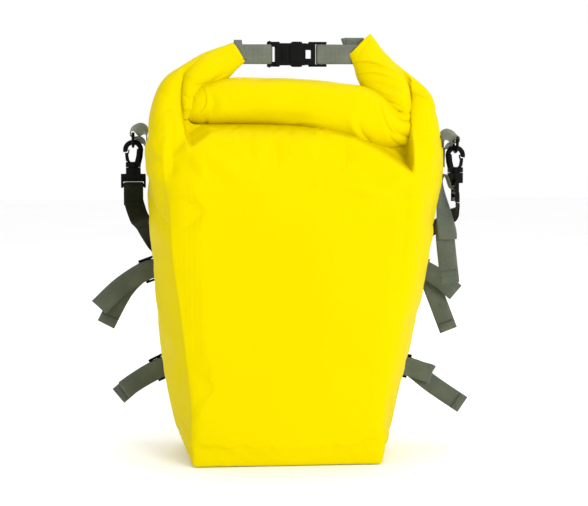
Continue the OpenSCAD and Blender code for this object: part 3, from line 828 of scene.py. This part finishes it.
ARM_LEFT_FOLDS = [
    ([(-123, 484), (-110, 478), (-95, 481), (-72, 494)], -2.6, 3.0, "crisp"),
    ([(-126, 492), (-108, 487), (-92, 490), (-76, 502)], 2.2, 4.0, "crisp"),
    ([(-104, 512), (-90, 504), (-72, 504)], 1.4, 7.0, "soft"),
    ([(-132, 470), (-122, 462), (-110, 463)], -1.6, 3.0, "crisp"),
    ([(-131, 452), (-122, 449), (-113, 455)], 1.8, 3.0, "crisp"),
    ([(-69, 532), (-65, 520), (-57, 508)], -1.0, 1.6, "crisp")]
ARM_RIGHT_FOLDS = [
    ([(86, 507), (103, 508), (117, 505), (136, 497)], 3.6, 8.0, "ledge"),
    ([(90, 492), (108, 494), (122, 492), (142, 486)], 3.2, 7.0, "ledge"),
    ([(97, 480), (114, 482), (134, 476), (150, 470)], -2.0, 3.0, "crisp"),
    ([(96, 521), (108, 520), (122, 522)], 1.4, 5.0, "soft"),
    ([(126, 524), (138, 508), (150, 490)], -1.8, 2.5, "crisp"),
    ([(106, 466), (118, 459), (131, 456), (146, 451)], -2.4, 3.0, "crisp"),
    ([(116, 474), (134, 466), (154, 462)], 2.2, 5.0, "crisp"),
    ([(95, 519), (101, 528), (114, 540)], -1.0, 1.6, "crisp")]


def folded_tube(name, rows, seed, folds=(), lip=(0, 0), shear=(0, 0)):
    tube = fabric_tube(name, rows, steps=13, count=90, lip=lip, shear=shear)
    tube = subdivided(tube, 1)
    points = fold(coords(tube), normals(tube), folds)
    set_coords(tube, points)
    set_coords(tube, wobble(points, normals(tube), 60, 0.5, seed))
    return tube


def make_collar():
    roll = join("collar_roll", [folded_tube("roll_outside", ROLL, 5, ROLL_FOLDS, (24, 0), (0.25, 0)),
                                folded_tube("roll_core", CORE, 8)])
    gathers = join("collar_gathers", [folded_tube(f"gather_{i}", rows, 20 + i)
                                      for i, rows in enumerate(GATHERS)])
    arm_left = folded_tube("collar_arm_left", ARM_LEFT, 6, ARM_LEFT_FOLDS, (0, 26))
    arm_right = folded_tube("collar_arm_right", ARM_RIGHT, 7, ARM_RIGHT_FOLDS, (0, 26), (0, -0.75))
    for piece, node in ((roll, "rolled_collar"), (gathers, "rolled_collar"), (arm_left, "collar_end_left"),
                        (arm_right, "collar_end_right")):
        dress(piece, TARP, "bag", "tarpaulin", node)


make_collar()


# ---------- moulded hardware ----------

def block(low, high):
    """Box between two corners, for fusing into a moulding."""
    x, y, z = zip(low, high)
    points = [(x[i & 1], y[i >> 1 & 1], z[i >> 2 & 1]) for i in range(8)]
    faces = [(0, 2, 3, 1), (4, 5, 7, 6), (0, 1, 5, 4), (2, 6, 7, 3), (0, 4, 6, 2), (1, 3, 7, 5)]
    return make_object("block", points, faces)


def rod(points, radius, sides=12):
    """Round bar through points, for fusing into a moulding."""
    rows = np.asarray(points, float)
    skin = []
    for centre, d in zip(rows, np.gradient(rows, axis=0)):
        d = unit(d)
        a = unit(np.cross(d, (0, 1, 0) if abs(d[1]) < 0.9 else (1, 0, 0)))
        b = np.cross(d, a)
        for k in range(sides):
            angle = 2 * math.pi * k / sides
            skin.append(centre + radius * (a * math.cos(angle) + b * math.sin(angle)))
    return make_object("rod", skin, ring_faces(len(rows), sides) + end_caps(len(rows), sides))


def moulded(name, node, body, voxel=0.5, smoothing=3, extras=()):
    """A CAD solid with its edges rounded as by a mould, and small details fused on."""
    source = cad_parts[node]
    copy = bpy.data.objects.new(name + "_source", source.data.copy())
    copy.matrix_world = source.matrix_world
    bpy.context.collection.objects.link(copy)
    bpy.context.view_layer.update()
    piece = remeshed(join(name, [copy, *extras]), voxel, smoothing)
    return dress(piece, PLASTIC, body, "black_plastic", node)


def dress_cad(node, material):
    """Gives its material to a CAD solid that stays as it is."""
    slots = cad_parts[node].data.materials
    slots.clear()
    slots.append(material)


BUCKLE = np.array([7.0, -22.0, 518.0])


def buckle_block(low, high):
    """Box given from the buckle's middle, with its corners in either order."""
    return block(BUCKLE + np.minimum(low, high), BUCKLE + np.maximum(low, high))


def make_buckle():
    thumb_ribs = [buckle_block((x, -6.1, -7.5), (x + 1.0, -5.2, 7.5)) for x in (-9, -6.6, -4.2)]
    face_panel = buckle_block((1, -6.0, -9.5), (14, -5.3, 9.5))
    shoulder = buckle_block((-18, -5.5, -14), (-13, 5.5, 14))
    ears, rims = [], []
    for s in (-1, 1):
        ears.append(buckle_block((-22, -4.5, s * 9.5), (-13, 4.5, s * 15.8)))
        rims.append(buckle_block((17, s * 3.8, -14), (21, s * 5.5, 14)))
    moulded("buckle_receiver", "buckle_female", "bag",
            extras=[*thumb_ribs, face_panel, shoulder, *ears, *rims])
    rails = [buckle_block((x, -4.6, s * 14.3 - 1.2), (x + 1.0, 4.6, s * 14.3 + 1.2))
             for x in (33, 36, 39, 42) for s in (-1, 1)]
    pads = [buckle_block((20.8, -5.2, s * 10 - 3.8), (28, -3.6, s * 10 + 3.8)) for s in (-1, 1)]
    bridge = buckle_block((28, -4.4, -14), (33.6, 3, 14))
    web = buckle_block((36.6, -1.8, -13.5), (40.4, 1.8, 13.5))
    moulded("buckle_insert_frame", "buckle_male", "buckle_insert", extras=[*rails, *pads, bridge, web])
    for place, s in (("upper", 1), ("lower", -1)):
        ribs = [buckle_block((x, -3.2, s * 15.2), (x + 0.9, 3.2, s * 16.3)) for x in (5, 7.6, 10.2, 12.8)]
        moulded(f"buckle_prong_{place}", f"prong_{place}", f"{place}_prong", extras=ribs)


# Outward distance of a side loop's leg and of its D-ring, and the place of each side's loop
LEG_X, RING_X = 1.9, 19.4
PLACES = {"left": (-172.2, 5, 417), "right": (208.2, 5, 409)}
HOOK_Z, HOOK_RADIUS = -20.8, 10.2
HOOK_BASES = {"left": "strap_eye", "right": "strap_adjuster"}


def make_hook(side, sign):
    """D-ring, snap hook, gate and swivel base of one side, thickened where the CAD solids are thin."""
    x0, y0, z0 = PLACES[side]
    x0 += sign * RING_X

    def spot(x, z, y=0):
        return (x0 + sign * x, y0 + y, z0 + z)

    def slab(half_x, half_y, low, high):
        return block(spot(-sign * half_x, low, -half_y), spot(sign * half_x, high, half_y))

    crown = rod([spot(x, HOOK_Z + z) for x, z in arc(0, 0, HOOK_RADIUS, -15, 180, 24)], 2.9)
    leg = rod([spot(-8.9, HOOK_Z + 1), spot(-8.0, HOOK_Z - 8), spot(-5.6, HOOK_Z - 18)], 4.3)
    foot = slab(9.6, 4.6, -43, -36.5)
    bar = rod([spot(7.4, HOOK_Z - 14.5), spot(8.4, HOOK_Z - 8), spot(8.7, HOOK_Z - 3.6)], 2.0)
    neck = [slab(9.5, 5.5, -57, -43.5)]
    if side == "left":
        neck.append(slab(12.6, 1.2, -61.6, -56))
    moulded(f"ring_{side}", f"d_ring_{side}", f"d_ring_body_{side}")
    moulded(f"snap_hook_{side}", f"hook_{side}", f"hook_body_{side}", 0.45, extras=[crown, leg, foot])
    moulded(f"snap_gate_{side}", f"gate_{side}", f"gate_body_{side}", 0.35, 2, extras=[bar])
    moulded(f"hook_base_{side}", HOOK_BASES[side], f"swivel_base_{side}", extras=neck)
    dress_cad(f"swivel_pin_{side}", STEEL)


# A lash strap: its side, its ladder lock's pivot (x, z), the slope of its webbing tab in degrees, and two
# points each (outward, up, angle in degrees) of the band that folds back and of the tail
Lash = namedtuple("Lash", "side x z slope band tail")
LASHES = {
    "upper_left": Lash(-1, -156, 238, 20, [(56, -29, 36), (83, -54, 46)], [(50, -34, 48), (75, -80, 58)]),
    "lower_left": Lash(-1, -143, 106, 26, [(46, -24, 31), (64, -36.5, 34)], [(46, -25, 34), (72, -46, 38)]),
    "upper_right": Lash(1, 180, 238, 22, [(47, -23, 32), (65.5, -39.5, 40)], [(40, -46, 62), (58, -93, 62)]),
    "lower_right": Lash(1, 157, 102, 14, [(42, -12, 17), (56, -17, 19)], [(60, -33, 32), (101, -61, 26)])}

make_buckle()
for side, sign in SIDES.items():
    make_hook(side, sign)
for place in LASHES:
    moulded(f"strap_lock_{place}", f"ladder_lock_{place}", f"lock_body_{place}", 0.6)
dress_cad("closure_stiffener", STRIP)
dress_cad("closure_webbing", WEBBING)


# ---------- webbing ----------

UP, FORE, FACE = (0, 0, 1), (0, 1, 0), (1, 0, 0)
# Radius of webbing round a bar, and room between a row of stitches and the selvedges
BAR_LOOP, STITCH_INSET = 3.3, 2.0
# Steps to each span: in short turns, in long straps and in the shoulder strap's free end
TURN_STEPS, LONG_STEPS, TAIL_STEPS = 3, 10, 8


def strap(name, places, widths, steps, body, material=WEBBING, nodes=()):
    """A strap on one body. Gives the piece, and its frames for stitches and hems."""
    frames = strip_frames(places, widths, steps)
    piece = strap_mesh(name, frames)
    return dress(piece, material, body, "webbing", *nodes), frames


def stitches(name, frames, at, body, face, rows):
    """Rows of stitches across a strap, at distances along it past a first one."""
    path, across, out, length = frames
    reach = STRAP_WIDTH / 2 - STITCH_INSET
    lines = []
    for row in rows:
        i = int(np.argmin(np.abs(length - (at + row))))
        line = [path[i] + across[i] * e + out[i] * face * STRAP_THICK / 2
                for e in np.linspace(-reach, reach, 12)]
        lines.append((line, [out[i] * face] * len(line)))
    dress(stitch_mesh(name, lines), THREAD, body, "webbing")


def follow(piece, body_first, body_last):
    """Joins a stretch of strap to one body; a stretch between two bodies is left on none, with its place
    baked in.
    """
    if body_first == body_last:
        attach(piece, body_first)
    else:
        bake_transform(piece)


# Buckle webbing, folded round a bar: X, and Y from the buckle's middle
RECEIVER_STRAP = ([(-68, -1.0), (-58, -1.2), (-45, -1.4), (-26, -2.8)]
                  + arc(BUCKLE[0] - 25, 0, BAR_LOOP, 270, 450, 10)
                  + [(-26, 2.8), (-45, 1.4), (-58, 1.2), (-68, 1.0)])
INSERT_STRAP = ([(118, 1.0), (96, 1.2), (76, 1.4), (60, 2.8), (50, 3.3)]
                + arc(BUCKLE[0] + 38.5, 0, BAR_LOOP, 90, 270, 10)
                + [(50, -3.3), (60, -2.8), (76, -1.6), (96, -1.4), (118, -1.0)])
# Folded ends of this webbing, sewn where it leaves the collar
# place of each fold (x, y, z), side, lean, length and half gap between its layers
COLLAR_TABS = {"left": (-54, BUCKLE[1], 523.5, -1, -0.35, 9, 3.4),
               "right": (82, BUCKLE[1] + 9.6, 527, 1, -0.42, 22, 2.2)}


def buckle_strap(name, outline, body, node):
    places = [(x, BUCKLE[1] + y, BUCKLE[2]) for x, y in outline]
    return strap(name, places, [UP] * len(places), TURN_STEPS, body, WEBBING_LIGHT, [node])[0]


def make_buckle_webbing():
    buckle_strap("receiver_strap", RECEIVER_STRAP, "bag", "female_strap")
    insert_strap = buckle_strap("insert_strap", INSERT_STRAP, None, "male_strap")
    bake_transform(insert_strap)
    for name, (x, y, z, sign, lean, reach, gap) in COLLAR_TABS.items():
        bight = [(x - sign * a, y + b) for a, b in arc(0, 0, gap, -90, 90, 8)]
        outline = [(x + sign * reach, y - gap), *bight, (x + sign * reach, y + gap)]
        strap(f"collar_tab_{name}", [(a, b, z) for a, b in outline], [(lean, 0, 1)] * len(outline),
              TURN_STEPS, "bag", WEBBING_LIGHT)


# A side loop: outward, up, and how much the webbing leans back there, first outside and over the crown to
# under the D-ring's bar, and then inside and back down
SEWN_X = LEG_X - 0.6
CROWN = [(LEG_X, -2, 0.2), (LEG_X + 1.2, 1.6, 0.6), (LEG_X + 4.6, 4.2, 0.9), (LEG_X + 9, 5.8, 0.9),
         (LEG_X + 13.5, 6.6, 0.5), (LEG_X + 17.4, 6.2, 0.25), (LEG_X + 20, 4.2, 0.1), (LEG_X + 20.8, 1.2, 0)]
LOOP_OUTSIDE = ([(SEWN_X, -36, 0), (SEWN_X, -22, 0), (LEG_X, -8, 0)] + CROWN
                + [(x, z, 0) for x, z in arc(RING_X, -1, BAR_LOOP, -10, -100, 5)])
LOOP_INSIDE = [(LEG_X + 10, -7.6, -0.45), (LEG_X + 3.2, -12, -0.3), (SEWN_X + 1.7, -22, 0),
               (SEWN_X + 1.7, -36, 0)]


def make_side_loop(side, sign):
    x0, y0, z0 = PLACES[side]
    rows = LOOP_OUTSIDE + LOOP_INSIDE
    places = [(x0 + sign * x, y0, z0 + z) for x, z, _ in rows]
    frames = strip_frames(places, [(0, 1, lean) for _, _, lean in rows], TURN_STEPS)
    turn = TURN_STEPS * (len(LOOP_OUTSIDE) - 1)
    outside = strap_mesh(f"loop_{side}", frames, 0, turn)
    dress(outside, WEBBING_LIGHT, "bag", "webbing", f"side_loop_{side}")
    # The inside run takes the darker olive webbing, which paints the shade inside the loop under the D-ring;
    # the outside keeps the grey.
    inside = strap_mesh(f"loop_inside_shaded_{side}", frames, turn)
    dress(inside, WEBBING, "bag", "webbing", f"side_loop_{side}")
    stitches(f"loop_stitch_{side}", frames, frames[3][-1] - 24, "bag", -sign, (0, 10, 20))


# Shoulder strap: one run of webbing (place, width direction), cut where it has to follow the hooks' joints
EYE = np.array([-172.2 - RING_X, 5, 351.0])
LADDER = np.array([208.2 + RING_X, 5, 339.0])
STRAP_Y = 122
SHOULDER = [
    ((EYE[0], 5, EYE[2] - 20), FACE),
    ((EYE[0] + 3, 7, EYE[2] - 31), (1, 0.15, 0.1)),
    ((-184, 16, 307), (0.9, 0.4, 0.15)),
    ((-177, 44, 297), (0.85, 0.45, 0.2)),
    ((-170, 82, 281), (1, 0.1, 0.2)),
    ((-158, 114, 262), (0.8, 0.4, 0.4)),
    ((-130, STRAP_Y, 232), (0.4, 1, 0.3)),
    ((-90, STRAP_Y, 204), FORE),
    ((-40, STRAP_Y, 186), FORE),
    ((20, STRAP_Y, 182), FORE),
    ((80, STRAP_Y, 190), FORE),
    ((130, STRAP_Y, 208), FORE),
    ((172, STRAP_Y, 249), (0.2, 1, 0)),
    ((203, 101, 278), (0.2, 0.7, 0.7)),
    ((214, 68, 291), (0.15, 0.6, 0.8)),
    ((LADDER[0] - 5, 34, LADDER[2] - 36), (0, 0.75, 0.6)),
    ((LADDER[0] + 2.6, 12, LADDER[2] - 28), (0, 1, 0.3)),
    ((LADDER[0] + 3.6, 5.4, LADDER[2] - 19), FORE),
    ((LADDER[0] + 3.6, 5, LADDER[2] - 13), FORE)]
# First row, last row, body at the first row, body at the last row
SHOULDER_CUTS = {
    "left_a": (0, 2, "swivel_base_left", "hook_body_left"),
    "left_b": (2, 3, "hook_body_left", "d_ring_body_left"),
    "left_c": (3, 5, "d_ring_body_left", "bag"),
    "middle": (5, 12, "bag", "bag"),
    "right_c": (12, 14, "bag", "d_ring_body_right"),
    "right_b": (14, 15, "d_ring_body_right", "hook_body_right"),
    "right_a": (15, 18, "hook_body_right", "swivel_base_right")}
# The sewn loop on the left: Y, and Z from the eye's bar
EYE_LOOP = ([(4.05, -26), (4.05, -12)] + [(5 + y, z) for y, z in arc(0, 0, BAR_LOOP, 190, -10, 12)]
            + [(5.95, -12), (5.95, -26)])
# The free end on the right, from the adjuster: out over its bar, down, folded back and down again
FREE_END = [
    ((3.6, 0, -12), FORE),
    ((3.6, 0, -3), FORE),
    ((2.4, 0, 3), FORE),
    ((-1, 0, 4.4), FORE),
    ((-6, 0, 7), FORE),
    ((-10, 0, 18), FORE),
    ((-13.4, 0, 24), FORE),
    ((-16.5, 0, 20), (0.1, 1, 0)),
    ((-18, -1, 0), (0.5, 0.85, 0)),
    ((-15, -4, -27), (0.88, 0.5, 0)),
    ((-11, -6, -52), FACE),
    ((-10.5, -4, -60), FACE),
    ((-11, -2, -52), FACE),
    ((-12, -1.2, -44), FACE),
    ((-13, 0.4, -46), FACE),
    ((-11, 2, -70), FACE),
    ((-5, 3, -119), FACE)]
HEM_REACH, HEM_LIFT, HEM_WIDTH = 13.5, 1.9, 24.6


def hem(name, frames, body, face):
    """Folded and sewn end of a tail: a second layer over its last stretch, with two rows of stitches."""
    path, across, out, length = frames
    start = length[-1] - HEM_REACH
    raised = (path + out * face * HEM_LIFT, across, out, length)
    layer = strap_mesh(f"{name}_hem", raised, int(np.argmin(np.abs(length - start))), width=HEM_WIDTH)
    dress(layer, WEBBING, body, "webbing")
    # The dark rows just past the hem layer's inner edge also paint the shadow of the hem's step.
    stitches(f"{name}_hem_stitch", raised, start + 3, body, face, (0, 2.4))


def make_shoulder_strap():
    frames = strip_frames([row[0] for row in SHOULDER], [row[1] for row in SHOULDER], LONG_STEPS)
    for name, (first, last, body_first, body_last) in SHOULDER_CUTS.items():
        first, last = first * LONG_STEPS, last * LONG_STEPS
        piece = strap_mesh(f"shoulder_{name}", frames, first, last)
        # The darker webbing copy paints the shade the strap lies in.
        dress(piece, WEBBING_SHADED, None, "webbing", "shoulder_strap")
        follow(piece, body_first, body_last)
    places = [(EYE[0], y, EYE[2] + z) for y, z in EYE_LOOP]
    # The loop round the eye also takes the darker copy, as painted shade.
    _, frames = strap("strap_end_loop_left", places, [FACE] * len(places), TURN_STEPS, "swivel_base_left",
                      WEBBING_SHADED, ["strap_end_left"])
    stitches("strap_end_stitch_left", frames, 6, "swivel_base_left", 1, (0, 2.6, 8))
    places, widths = [LADDER + row[0] for row in FREE_END], [row[1] for row in FREE_END]
    _, frames = strap("strap_end_tail_right", places, widths, TAIL_STEPS, "swivel_base_right",
                      nodes=["strap_end_right"])
    hem("shoulder_tail", frames, "swivel_base_right", 1)


# Lash straps: Y of the locks and of the webbing under them, and of the back that the patches lie on
LOCK_Y, UNDER_Y, BACK_Y = 100, 92, 90
# Where along its slope a strap starts, and the middle of its patch
TAB_START, PATCH_X = -84, -62
# First row, last row, and whether each end follows the lock rather than the bag
LASH_CUTS = {"band": (0, 6, False, False), "return": (6, 10, False, True), "tail": (10, 17, True, True)}


def lash_point(lash, place, y):
    """A point given outward and up from the lock's pivot, and the strap's width direction there."""
    outward, up, degrees = place
    angle = math.radians(degrees)
    return ((lash.x + lash.side * outward, y, lash.z + up),
            (lash.side * math.sin(angle), 0, math.cos(angle)))


def on_slope(lash, d, y):
    """A point on the line of the tab and the lock, d outward from the pivot."""
    angle = math.radians(lash.slope)
    return lash_point(lash, (d * math.cos(angle), -d * math.sin(angle), lash.slope), y)


def lash_rows(lash):
    """From the back out to the fold, back over itself and through the lock, and out along the tail."""
    out_x, out_z, angle = lash.band[1]
    near_fold = (out_x - 2, out_z + 1.5, angle)
    band = [(lash.band[0], -0.8), (near_fold, 0), (lash.band[1], 3), (near_fold, 5.4), (lash.band[0], 5.6)]
    r = BAR_LOOP
    round_bar = [(30, -r), (12.5, -r), (12 - 0.75 * r, -0.7 * r), (12 - r, 0), (12 - 0.75 * r, 0.7 * r),
                 (12.5, r), (27, r)]
    return ([on_slope(lash, d, UNDER_Y) for d in (TAB_START, -40, 0, 26)]
            + [lash_point(lash, place, UNDER_Y + y) for place, y in band]
            + [on_slope(lash, d, LOCK_Y + y) for d, y in round_bar]
            + [lash_point(lash, lash.tail[0], LOCK_Y + r), lash_point(lash, lash.tail[1], LOCK_Y + r - 1)])


def make_lash(place, lash):
    lock = f"lock_body_{place}"
    rows = lash_rows(lash)
    frames = strip_frames([r[0] for r in rows], [r[1] for r in rows], LONG_STEPS)
    for name, (first, last, lock_first, lock_last) in LASH_CUTS.items():
        first, last = first * LONG_STEPS, last * LONG_STEPS
        piece = strap_mesh(f"lash_{place}_{name}", frames, first, last)
        dress(piece, WEBBING, None, "webbing", f"lash_strap_{place}")
        follow(piece, lock if lock_first else "bag", lock if lock_last else "bag")
    hem(f"lash_tail_{place}", frames, lock, lash.side)


def make_lash_tab(place, lash):
    """The webbing tab that holds a ladder lock, sewn to its patch."""
    lower, upper = UNDER_Y + 1.6, UNDER_Y + 3.3
    outline = ([(TAB_START, lower), (-60, lower), (-36, lower), (-9, LOCK_Y - 3.6)]
               + arc(0, LOCK_Y, BAR_LOOP, -90, 90, 12)
               + [(-9, LOCK_Y + 2.6), (-36, upper), (-60, upper), (TAB_START, upper)])
    tab = [on_slope(lash, d, y) for d, y in outline]
    _, frames = strap(f"lash_tab_loop_{place}", [t[0] for t in tab], [t[1] for t in tab], TURN_STEPS, "bag",
                      nodes=[f"lash_tab_{place}"])
    stitches(f"lash_tab_stitch_{place}", frames, frames[3][-1] - 47, "bag", -lash.side, (0, 3, 20, 40, 43))


# ---------- welded patches ----------

PATCH_THICK, PATCH_CORNER, PATCH_EDGE, PATCH_UNDER = 1.2, 6, 0.5, 2.0
# How far below its loop's crown a gusset's patch is, and how far out, in metres, the shell is looked for from
PATCH_DROP, LOOK_FROM = 27, 0.1


def patch_mesh(name, half_x, half_z):
    """Flat patch with rounded corners and a soft edge, lying in the XZ plane with its face to +Y."""
    outline = []
    for cx, cz, start in ((1, 1, 0), (-1, 1, 90), (-1, -1, 180), (1, -1, 270)):
        outline += arc(cx * (half_x - PATCH_CORNER), cz * (half_z - PATCH_CORNER), PATCH_CORNER,
                       start, start + 90, 6)
    edge = [(1.0, -PATCH_UNDER), (1.0, PATCH_THICK - PATCH_EDGE), (0.992, PATCH_THICK - PATCH_EDGE * 0.3)]
    rings = edge + [(share, PATCH_THICK) for share in (0.975, 0.9, 0.6, 0.3)]
    points = [(x * share, y, z * share) for share, y in rings for x, z in outline]
    faces = [face[::-1] for face in ring_faces(len(rings), len(outline)) + end_caps(len(rings), len(outline))]
    return make_object(name, points, faces)


def patch_on_back(place, lash):
    patch = patch_mesh(f"lash_patch_weld_{place}", 28, 20)
    turn = Matrix.Rotation(math.radians(lash.slope * lash.side), 4, "Y")
    along = turn @ Vector((PATCH_X * lash.side, 0, 0))
    patch.data.transform(Matrix.Translation((Vector((lash.x, BACK_Y, lash.z)) + along) * MM) @ turn)
    dress(patch, TARP, "bag", "tarpaulin", f"lash_patch_{place}")


def patch_on_gusset(side, sign, shell_tree):
    """A patch whose back lies on the gusset."""
    patch = patch_mesh(f"loop_patch_{side}", 24, 17)
    turn = Matrix.Rotation(math.radians(-90 * sign), 4, "Z")
    x0, y0, z0 = PLACES[side]
    patch.data.transform(Matrix.Translation(Vector((x0, y0, z0 - PATCH_DROP)) * MM) @ turn)
    for vertex in patch.data.vertices:
        height = sign * (vertex.co.x - x0 * MM)
        start = Vector((x0 * MM + sign * LOOK_FROM, vertex.co.y, vertex.co.z))
        place = shell_tree.ray_cast(start, Vector((-sign, 0, 0)))[0]
        if place is not None:
            vertex.co.x = place.x + sign * height
    dress(patch, TARP, "bag", "tarpaulin", f"side_patch_{side}")


make_buckle_webbing()
for side, sign in SIDES.items():
    make_side_loop(side, sign)
make_shoulder_strap()
for place, lash in LASHES.items():
    make_lash(place, lash)
    make_lash_tab(place, lash)
    patch_on_back(place, lash)
shell_tree = BVHTree.FromObject(bag_shell, bpy.context.evaluated_depsgraph_get())
for side, sign in SIDES.items():
    patch_on_gusset(side, sign, shell_tree)
